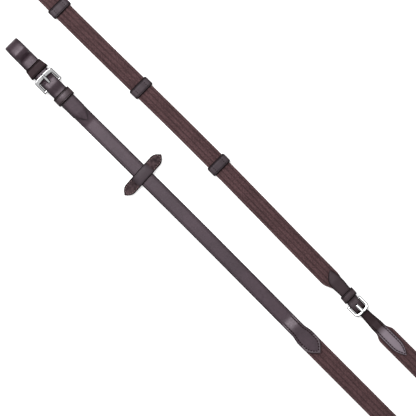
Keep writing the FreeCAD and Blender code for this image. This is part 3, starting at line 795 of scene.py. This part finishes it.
def make_billet(side):
    at = route_frame(side, loose=False)
    line = softened(bent_line(BILLET_FOLD, 0.6), 6)
    nose = int(np.argmin(line[:, 0]))

    def section(i, a, b, length):
        on_top = i > nose
        width = pointed_width(STRAP_WIDTH, a, 94.0, BILLET_TIP, 2.0) if on_top else STRAP_WIDTH
        y, z, edge, mark = leather_ring(width, THICK - 0.3 * rise(a, 80.0, 95.0) * on_top)
        return y + 0.45 * math.tanh((i - nose) / 12.0), -z, edge, mark

    piece = swept(side + "_billet", at, line, section, "strap_leather", 3.0)
    # Room for the tongue: a slot to the top, and a longer hollow under the surface.
    cut_slot(piece, at, 49.8, 56.6, BIT_SLOT_HALF, 1.6, 14.0)
    cut_slot(piece, at, 51.4, 60.2, BIT_SLOT_HALF, 1.6, 9.5)
    finish_piece(piece, "reins", "strap_leather", side + "_bit_billet")


def make_front_strap(side):
    at = route_frame(side)
    front = HEEL_AT - HEEL_WRAP
    fold = [(70.0, 2.0, 0), (front, 2.0, HEEL_WRAP), (front, 6.0, HEEL_WRAP), (62.6, 6.0, 3.0),
            (67.5, 4.95, 3.0), (72.5, OVER_BILLET, 4.0), (80.0, OVER_BILLET, 8.0), (97.0, 2.95, 8.0),
            (112.0, 0, 8.0), (150.0, 0, 0)]
    near = softened(bent_line(fold, 0.6), 3)
    middle = np.array([(a, 0.0) for a in np.arange(152.0, 384.0, 2.0)])
    onto_web = softened(bent_line([(JOIN_START, 0, 0), (RISE_START, 0, 22.0), (RISE_END, THICK, 22.0),
                                   (JOIN_TIP, THICK, 0)], 0.8), 4)
    line = np.vstack([near, middle, onto_web])
    heel_end = int(np.argmax((near[:, 0] > 72.5) & (near[:, 1] > 3.5)))

    def section(i, a, b, length):
        share = rise(a, 67.0, 72.0) if b > 3.0 or i > heel_end else 0
        thick = 1.2 + (THICK - 1.2) * share if i <= heel_end else THICK
        if a < 391.0:
            return leather_ring(STRAP_WIDTH, thick)
        return leather_ring(2 * join_edge(a, 0.0), thick, bevel=0.9, inset=SEAM_INSET, groove=0.25,
                            dark_edge=1.15, crease_shade=0.45)

    piece = swept(side + "_strap", at, line, section, "strap_leather", STRAP_SEED)
    cut_slot(piece, at, 55.0, 63.4, BIT_SLOT_HALF, 1.55, 9.0)
    tip = STRAP_SEED + lengths_along(line)[-1]

    def on_rim(strap):
        from_tip = tip - strap[0]
        outside_seam = abs(strap[1]) > join_edge(JOIN_TIP - from_tip, SEAM_INSET + 0.3)
        return from_tip < 17.0 and outside_seam and strap[2] > 0

    # The rim outside the seam near the point gets the painted highlight leather.
    second_material(piece, "rim_highlight_leather", on_rim)
    finish_piece(piece, "reins", "strap_leather", side + "_front_strap")


def runner_loop(half_width, low, high, radius, crown):
    """Points (y, z) round a rounded rectangle, counted the same whatever its size."""
    loop = []
    arcs = [((half_width - radius, high - radius), 90), ((half_width - radius, low + radius), 0),
            ((-half_width + radius, low + radius), -90), ((-half_width + radius, high - radius), -180)]
    for k, ((y0, z0), first) in enumerate(arcs):
        for angle in np.radians(np.linspace(first, first - 90, 7)):
            loop.append((y0 + radius * math.cos(angle), z0 + radius * math.sin(angle)))
        y1, z1 = arcs[(k + 1) % 4][0]
        start = np.array(loop[-1])
        first_next = math.radians(arcs[(k + 1) % 4][1])
        end = np.array([y1 + radius * math.cos(first_next), z1 + radius * math.sin(first_next)])
        for share in np.linspace(0, 1, 10)[1:-1]:
            loop.append(tuple(start + (end - start) * share))
    loop = np.array(loop)
    top = np.clip((loop[:, 1] - (low + high) / 2) / (high - low) * 4, 0, 1)
    loop[:, 1] += crown * top * np.clip(1 - (loop[:, 0] / half_width) ** 2, 0, 1)
    return loop


def band(name, at, middle, width, inner, outer, material, bevel=0.9, creases=2.0, seed=0.0):
    """A closed leather band round a strap; inner(x) and outer(x, drop) give its loops of (y, z)."""
    half = width / 2
    across = np.array([0.0, bevel * 0.2, bevel * 0.55, bevel, creases - 0.3, creases, creases + 0.3,
                       half * 0.55, half * 0.8])
    drops = np.array([bevel, bevel * 0.5, bevel * 0.16, 0, 0, 0.14, 0, 0, 0])
    # The band's edges (inked, and widened with painted shade) and its creases (painted shade) are marked
    # dark.
    edge = np.array([1, 1, 1.0, 1.0, 0.3, 0, 0, 0, 0.0])
    mark = np.array([0, 0, 0, 0, 0.3, 1.0, 0.3, 0, 0.0])
    order = np.argsort(across)
    near = list(zip(half - across[order], drops[order], edge[order], mark[order]))
    profile = [(-x, drop, e, m) for x, drop, e, m in near] + [(0.0, 0.0, 0.0, 0.0)] + near[::-1]
    loops = [(x, outer(x, drop), e, m) for x, drop, e, m in profile]
    loops += [(x, inner(x), 0.0, 0.0) for x in (half, 0.0, -half)]
    points, strap, edges, grooves = [], [], [], []
    for x, loop, e, m in loops:
        place, _, sideways, out = at(middle + x)
        around = lengths_along(loop)
        points.append(place + np.outer(loop[:, 0], sideways) + np.outer(loop[:, 1], out))
        strap.append(np.stack([np.full(len(loop), x + seed), around, loop[:, 1]], axis=1))
        edges.append(np.full(len(loop), e))
        grooves.append(np.full(len(loop), m))
    count = len(points[0])
    rows = len(points)
    faces = []
    for row in range(rows):
        after = (row + 1) % rows
        for k in range(count):
            k2 = (k + 1) % count
            faces.append((row * count + k, after * count + k, after * count + k2, row * count + k2))
    if faces_inward(points[1][0], points[0][1], points[0]):
        faces = [face[::-1] for face in faces]
    return new_piece(name, points, faces, strap, edges, grooves, material)


def keeper(name, at, middle, width, inner_half, low, high, side, leg_low, leg_high, crown=0.5, flare=0.0,
           material="keeper_leather"):
    """A keeper: a folded leather loop, a little wider where the strap pushes it out."""
    def inner(x):
        return runner_loop(inner_half, low, high, 0.5, crown * 0.6)

    def outer(x, drop):
        spread = flare * x / (width / 2)
        bulge = 0.25 * (1 - (2 * x / width) ** 2)
        return runner_loop(inner_half + side - drop + spread, low - leg_low + drop * 0.6,
                           high + leg_high - drop + bulge, 1.7, crown)

    return band(name, at, middle, width, inner, outer, material, seed=middle)


def make_bit_keepers(side):
    at = route_frame(side, loose=False)
    runner = keeper(side + "_runner", at, 36.5, 11.0, 8.65, -HALF - 0.25, FRONT_LAYER + HALF + 0.25,
                    1.5, 1.5, 1.5, crown=0.35, flare=0.85, material="runner_leather")
    finish_piece(runner, side + "_bit_runner", "keeper_leather", side + "_bit_runner")
    fixed = keeper(side + "_keeper", at, 75.6, 9.8, 8.3, 2.65, KEEPER_LAYER + HALF + 0.1, 1.9, 1.15, 1.3,
                   crown=2.0)
    finish_piece(fixed, "reins", "keeper_leather", side + "_bit_keeper")


def make_bit_stitches(side):
    """Two seams through the strap and the billet sewn under it, seen on both faces."""
    at = route_frame(side, loose=False)
    rows = []
    for y in (-6.0, 6.0):
        rows.append(seam(at, [(a, y, level + HALF - 0.05) for a, level in ((82.0, 3.95), (98.0, 2.85))]))
        rows.append(seam(flipped(at), [(a, y, HALF - 0.02) for a in np.linspace(64.0, 96.0, 12)]))
    rows.append(seam(flipped(at), [(96.0, y, HALF - 0.02) for y in np.linspace(-5.0, 5.0, 6)]))
    stitches(side + "_bit_stitches", rows, "reins", "strap_leather")


# -------- join of leather and web

def join_edge(a, inset):
    """Half width of the leather point at a distance, less an inset."""
    wide = STRAP_WIDTH + 3.3 * eased(rise(a, 405.0, 416.0))
    return pointed_width(wide, a, 423.5, JOIN_TIP, 1.95) / 2 - inset


def join_seam_path(level_of, inset=SEAM_INSET):
    """A seam down one side of the leather point, round its tip and back up the other side."""
    side = [(a, join_edge(a, inset)) for a in np.linspace(392.0, JOIN_TIP - 3.6, 60)]
    side = [(a, y) for a, y in side if y > 0.2]
    path = [(a, y, level_of(a)) for a, y in side]
    path.append((side[-1][0] + 0.8, 0.0, level_of(side[-1][0])))
    return path + [(a, -y, level_of(a)) for a, y in reversed(side)]


def make_join(side):
    at = route_frame(side)
    under = flipped(at)
    start = JOIN_START + 4.0
    tip = JOIN_START + 48.0
    line = np.array([(a, HALF + 1.0) for a in np.linspace(start, tip, 70)])

    def section(i, a, b, length):
        wide = 15.2 + 3.8 * rise(a, 409.0, 417.0)
        return leather_ring(pointed_width(wide, a, 421.0, tip, 1.75), 2.0, bevel=0.6, inset=2.3, groove=0.2)

    backing = swept(side + "_backing", under, line, section, "backing_leather", 23.0)
    finish_piece(backing, "reins", "backing_leather", side + "_join_backing")

    def top_level(a):
        return HALF + THICK * eased(rise(a, RISE_START - 1.0, RISE_END + 1.0)) - 0.1

    rows = [seam(at, join_seam_path(top_level))]
    rows.append(seam(under, join_seam_path(lambda a: HALF + 1.3, 2.6)[2:-2]))
    stitches(side + "_join_stitches", rows, "reins", "strap_leather", thread_width=1.6, stitch=1.7, pitch=2.8)


# -------- web and hand stops

def make_web(side):
    at = route_frame(side)
    end = HALVES[side]["web_end"]
    line = np.array([(a, 0.0) for a in np.linspace(WEB_START, end, int((end - WEB_START) / 1.6))])

    def section(i, a, b, length):
        taper = 14.5 if side == "left" else 9.0
        share = rise(a, end - taper, end)
        width = WEB_WIDTH - (WEB_WIDTH - CENTRE_WIDTH) * eased(share)
        if a < JOIN_TIP - 16.0:
            width = 2 * join_edge(a, 0.3)
        y, z, edge, mark = web_ring(width)
        aside = 1.7 * share if side == "left" else 0.0
        return y + aside, z, edge, mark

    piece = swept(side + "_webbing", at, line, section, "webbing", 31.0)
    finish_piece(piece, "reins", "webbing", side + "_web")


def stop_loop(half_width, reach, drop):
    """The outer loop of a hand stop: domed between its seams, pinched at its ends."""
    loop = runner_loop(half_width, -reach, reach, min(1.3, reach * 0.8), 0.0)
    away = np.abs(loop[:, 0])
    shape = 0.32 * np.clip(1 - (away / 5.2) ** 2, 0, 1) - 0.55 * np.exp(-((away - 6.0) / 0.75) ** 2)
    shape -= 1.0 * np.clip((away - 8.6) / (half_width - 8.6), 0, 1) ** 1.4
    loop[:, 1] += np.sign(loop[:, 1]) * (shape - drop) * np.clip(np.abs(loop[:, 1]) / reach, 0, 1)
    return loop


def make_hand_stop(side, number, from_centre):
    """One hand stop, sewn round the web; returns the rows of its seams."""
    at = route_frame(side)
    middle = REIN_LENGTH - from_centre
    width = 11.0

    def outer(x, drop):
        chamfer = 0.9 * np.clip((abs(x) - (width / 2 - 1.3)) / 1.3, 0, 1) ** 1.5
        return stop_loop(11.4 - chamfer, HALF + 1.95, drop)

    def inner(x):
        return runner_loop(WEB_WIDTH / 2 + 0.1, -HALF - 0.02, HALF + 0.02, 0.5, 0.0)

    piece = band("%s_hand_stop_leather_%d" % (side, number), at, middle, width, inner, outer,
                 "stop_leather", bevel=0.85, creases=1.9, seed=number * 7.0)
    finish_piece(piece, "reins", "stop_leather", "%s_hand_stop_%d" % (side, number))
    rows = []
    for face in (at, flipped(at)):
        for y in (-6.0, 6.0):
            rows.append(seam(face, [(middle + x, y, HALF + 1.52) for x in np.linspace(-4.6, 4.6, 5)]))
    return rows


# -------- rein stop

STOP_LEAF_LENGTH = 55.0
STOP_LEAF_WIDTH = 12.5
STOP_LEAF_THICK = 1.5
STOP_LEAF_POINT = 9.5
STOP_LEAF_LEVEL = 0.76
STOP_INSET = 1.7
STOP_TILT = math.radians(3.2)


def leaf_frame(at, middle, face):
    """A frame along the stop's leaf: distances run across the strap, tilted a little."""
    place, along, across, out = at(middle)
    length_axis = across * math.cos(STOP_TILT) - along * math.sin(STOP_TILT)
    width_axis = along * math.cos(STOP_TILT) + across * math.sin(STOP_TILT)

    def frame_at(distance):
        return place + length_axis * distance, length_axis, width_axis * -face, out * face

    return frame_at


def stop_leaf_width(a):
    half = STOP_LEAF_LENGTH / 2
    return pointed_width(STOP_LEAF_WIDTH, a, half - STOP_LEAF_POINT, half, 2.2)


def make_rein_stop(side):
    at = route_frame(side)
    half = STOP_LEAF_LENGTH / 2
    over = HALF + 0.3 + STOP_LEAF_THICK / 2
    edge = STRAP_WIDTH / 2
    corners = [(-half, STOP_LEAF_LEVEL, 0), (-edge - 3.9, STOP_LEAF_LEVEL, 2.5), (-edge - 0.6, over, 2.0),
               (edge + 0.6, over, 2.0), (edge + 3.9, STOP_LEAF_LEVEL, 2.5), (half, STOP_LEAF_LEVEL, 0)]
    line = softened(bent_line(corners, 0.5), 6)
    raised = line.copy()
    raised[:, 1] += 0.35 * np.clip(1 - (line[:, 0] / 7.5) ** 2, 0, 1)
    seam_level = STOP_LEAF_LEVEL + 0.72
    rows = []
    for face, node, path in ((1, "top", raised), (-1, "back", line)):
        frame_at = leaf_frame(at, REIN_STOP_AT, face)

        def section(i, a, b, length):
            middle = np.clip(1 - (abs(a) / 8.6) ** 4, 0, 1)
            return leather_ring(stop_leaf_width(abs(a)), STOP_LEAF_THICK, bevel=0.55 + 0.25 * middle,
                                inset=STOP_INSET, groove=0.16 * (1 - middle), crown=0.1 + 0.25 * middle)

        piece = swept("%s_stop_%s" % (side, node), frame_at, path, section, "stop_leather")
        middle_length = lengths_along(path)[-1] / 2
        second_material(piece, "sewn_leather", lambda strap: abs(strap[0] - middle_length) > 10.6)
        finish_piece(piece, side + "_rein_stop", "stop_leather", "%s_rein_stop_%s" % (side, node))
        for end in (1, -1):
            outline = []
            for a in np.linspace(11.2, half - 2.6, 24):
                y = stop_leaf_width(a) / 2 - STOP_INSET
                if y > 0.2:
                    outline.append((end * a, y, seam_level))
            tip = [(end * (half - 2.9), 0.0, seam_level)]
            rows.append(seam(frame_at, outline + tip + [(a, -y, z) for a, y, z in reversed(outline)]))
            rows.append(seam(frame_at, [(end * 10.2, y, 1.62) for y in np.linspace(-4.9, 4.9, 5)]))
    stitches(side + "_stop_stitches", rows, side + "_rein_stop", "stop_leather",
             thread_width=1.2, stitch=1.6, pitch=2.5, material="light_thread")


# -------- centre buckle

def make_centre_chape():
    wrap = 2.15
    front = -12.5 + wrap
    corners = [(-53.5, -wrap, 0), (front, -wrap, wrap), (front, wrap, wrap), (-42.0, wrap, 0)]
    line = softened(bent_line(corners, 0.5), 3)

    def section(i, a, b, length):
        y, z, edge, mark = leather_ring(CENTRE_WIDTH, 1.5, bevel=0.45, inset=1.7, groove=0.1, crown=0.0)
        return y, -z, edge, mark

    piece = swept("centre_chape_leather", centre_frame, line, section, "strap_leather", 51.0)
    cut_slot(piece, centre_frame, -16.4, -8.6, 1.35, -5.0, 5.0)
    finish_piece(piece, "reins", "strap_leather", "centre_chape")


LEAF_START = 17.0
LEAF_INSET = 1.95
BILLET_THICK = 2.0
NECK_WIDTH = 9.5
CENTRE_SLOT_HALF = 1.4


def leaf_width(a):
    """Width of the leaf: widest in its second half, and pointed."""
    swell = 0.7 * math.sin(math.pi * rise(a, LEAF_START, LEAF_TIP))
    return pointed_width(11.6 + swell, a, 46.0, LEAF_TIP, 2.2)


def make_centre_billet():
    """The billet, its neck and the padded leaf, all one strap."""
    neck = -HALF + 1.0
    over_chape = 4.0
    leaf = HALF + 1.0
    corners = [(LEAF_TIP, leaf, 0), (23.4, leaf, 5.0), (15.9, neck, 5.0), (-2.2, neck, 2.5),
               (-5.6, over_chape + 1.0, 2.0), (-10.6, over_chape + 1.0, 3.0), (-15.0, over_chape, 3.5),
               (-41.5, over_chape, 6.0), (CENTRE_BILLET_TIP, 2.7, 0)]
    line = softened(bent_line(corners, 0.5), 8)

    def section(i, a, b, length):
        if a > LEAF_START:
            width = leaf_width(a)
            share = rise(a, 19.0, 26.0) * rise(a, LEAF_TIP - 1.6, LEAF_TIP - 6.6)
            dome = 0.85 * math.sin(share * math.pi / 2) ** 1.5
            y, z, edge, mark = leather_ring(width, BILLET_THICK, bevel=0.8, inset=LEAF_INSET, groove=0.3,
                                            crown=0.05, dome=dome, dome_half=max(width / 2 - 2.1, 0.4),
                                            dark_edge=1.05, crease_shade=1.0)
            return y, -z, edge, mark
        skew = 0.0
        if a > -4.0:
            width = NECK_WIDTH + 2.1 * rise(a, 1.0, LEAF_START) + 2.9 * rise(a, 1.0, -4.0)
        else:
            full = CENTRE_WIDTH + 1.2 * rise(a, -28.0, -36.0)
            width = pointed_width(full, -a, 37.0, -CENTRE_BILLET_TIP, 2.9)
            skew = (full - width) * 0.3
        y, z, edge, mark = leather_ring(width, BILLET_THICK, bevel=0.8, inset=1.9, groove=0.12)
        return y + skew, -z, edge, mark

    piece = swept("centre_billet_leather", centre_frame, line, section, "billet_leather")
    second_material(piece, "leaf_leather", lambda strap: strap[0] < LEAF_TIP)
    # Room for the tongue: a slot to the top, and a hollow under the surface beyond it.
    cut_slot(piece, centre_frame, -10.5, -1.6, CENTRE_SLOT_HALF, -1.0, 9.0)
    cut_slot(piece, centre_frame, -13.2, -8.4, CENTRE_SLOT_HALF, -1.0, 4.9)
    finish_piece(piece, "reins", "strap_leather", "centre_billet", "leaf_filler")

    line = np.array([(a, HALF + 1.0) for a in np.linspace(4.0, LEAF_TIP - 1.0, 80)])

    def under_section(i, a, b, length):
        width = NECK_WIDTH + 3.0 * rise(a, 4.0, 19.5)
        width = pointed_width(width, a, 49.0, LEAF_TIP - 1.0, 2.0)
        return leather_ring(width, BILLET_THICK, bevel=0.5, inset=1.9, groove=0.15)

    backing = swept("centre_backing_leather", flipped(centre_frame), line, under_section,
                    "backing_leather", 71.0)
    finish_piece(backing, "reins", "backing_leather", "centre_backing")


def make_centre_stitches():
    """Seams round the leaf, and down both edges of the billet's end and of the chape under it."""
    level = HALF + BILLET_THICK - 0.2
    side = [(a, leaf_width(a) / 2 - LEAF_INSET) for a in np.linspace(21.0, LEAF_TIP - 2.9, 50)]
    side = [(a, y) for a, y in side if y > 0.25]
    around = [(a, y, level) for a, y in side] + [(side[-1][0] + 0.7, 0.0, level)]
    around += [(a, -y, level) for a, y in reversed(side)]
    under = [(a, y, HALF + 1.2) for a, y, _ in around]
    rows = [seam(centre_frame, around), seam(flipped(centre_frame), under)]
    for at, height, places in ((centre_frame, HALF + 1.45, np.linspace(-41.0, -30.0, 4)),
                               (flipped(centre_frame), 2.6, np.linspace(-52.0, -18.0, 10))):
        for y in (-4.5, 4.5):
            rows.append(seam(at, [(a, y, height) for a in places]))
    stitches("centre_stitches", rows, "reins", "strap_leather", thread_width=1.8, stitch=1.7, pitch=2.9)


def make_centre_keeper():
    fixed = keeper("centre_keeper_leather", centre_frame, -21.6, 8.4, CENTRE_WIDTH / 2 + 0.4, HALF - 0.05,
                   5.1, 1.35, 1.15, 1.2, crown=1.3)
    finish_piece(fixed, "reins", "keeper_leather", "centre_keeper")


# -------- everything

def dress_buckles():
    for name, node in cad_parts.items():
        if "buckle" in name:
            node.data.materials.clear()
            node.data.materials.append(MATERIALS["buckle_metal"])
            node.data.shade_smooth()


def main():
    add_camera()
    add_studio()
    add_floor()
    dress_buckles()
    for side in HALVES:
        make_billet(side)
        make_front_strap(side)
        make_bit_keepers(side)
        make_bit_stitches(side)
        make_join(side)
        make_web(side)
        make_rein_stop(side)
        rows = []
        for number, from_centre in enumerate(HAND_STOPS_FROM_CENTRE, start=1):
            rows += make_hand_stop(side, number, from_centre)
        stitches(side + "_hand_stop_stitches", rows, "reins", "stop_leather", thread_width=1.0, stitch=1.5,
                 pitch=2.5)
    make_centre_chape()
    make_centre_billet()
    make_centre_stitches()
    make_centre_keeper()


main()
